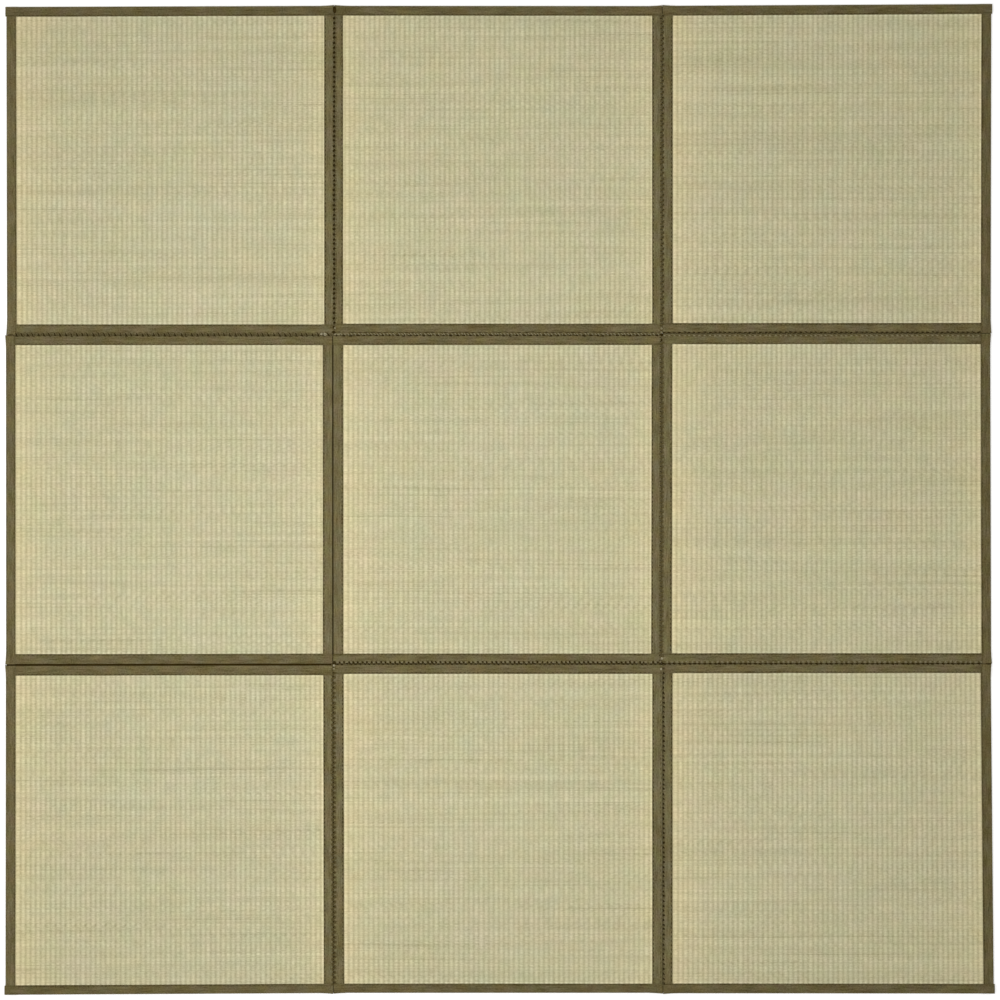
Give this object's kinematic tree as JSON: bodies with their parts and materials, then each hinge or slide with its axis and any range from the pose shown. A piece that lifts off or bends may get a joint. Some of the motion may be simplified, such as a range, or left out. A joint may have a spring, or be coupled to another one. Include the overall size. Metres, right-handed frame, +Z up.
{
  "type": "folding tatami mat",
  "caption": "Square folding tatami mat lying flat: a grid of woven rush panels, each bound in olive cloth tape, sewn together edge to edge.",
  "frame": {"origin": "on the floor, under the middle of the mat's bounding box", "axes": "+Z up, +X to the mat's right, +Y to its far side, as seen from above in the picture"},
  "size_m": [1.8094, 1.811, 0.0093],
  "materials": {
    "rush": "satin",
    "binding": "matte"
  },
  "bodies": {
    "root": {"rush_r1c1": "rush", "binding_r1c1_left": "binding", "binding_r1c1_right": "binding", "binding_r1c1_far": "binding", "binding_r1c1_near": "binding", "rush_r1c2": "rush", "binding_r1c2_left": "binding", "binding_r1c2_right": "binding", "binding_r1c2_far": "binding", "binding_r1c2_near": "binding", "rush_r1c3": "rush", "binding_r1c3_left": "binding", "binding_r1c3_right": "binding", "binding_r1c3_far": "binding", "binding_r1c3_near": "binding", "rush_r2c1": "rush", "binding_r2c1_left": "binding", "binding_r2c1_right": "binding", "binding_r2c1_far": "binding", "binding_r2c1_near": "binding", "rush_r2c2": "rush", "binding_r2c2_left": "binding", "binding_r2c2_right": "binding", "binding_r2c2_far": "binding", "binding_r2c2_near": "binding", "rush_r2c3": "rush", "binding_r2c3_left": "binding", "binding_r2c3_right": "binding", "binding_r2c3_far": "binding", "binding_r2c3_near": "binding", "rush_r3c1": "rush", "binding_r3c1_left": "binding", "binding_r3c1_right": "binding", "binding_r3c1_far": "binding", "binding_r3c1_near": "binding", "rush_r3c2": "rush", "binding_r3c2_left": "binding", "binding_r3c2_right": "binding", "binding_r3c2_far": "binding", "binding_r3c2_near": "binding", "rush_r3c3": "rush", "binding_r3c3_left": "binding", "binding_r3c3_right": "binding", "binding_r3c3_far": "binding", "binding_r3c3_near": "binding"}
  },
  "joints": []
}
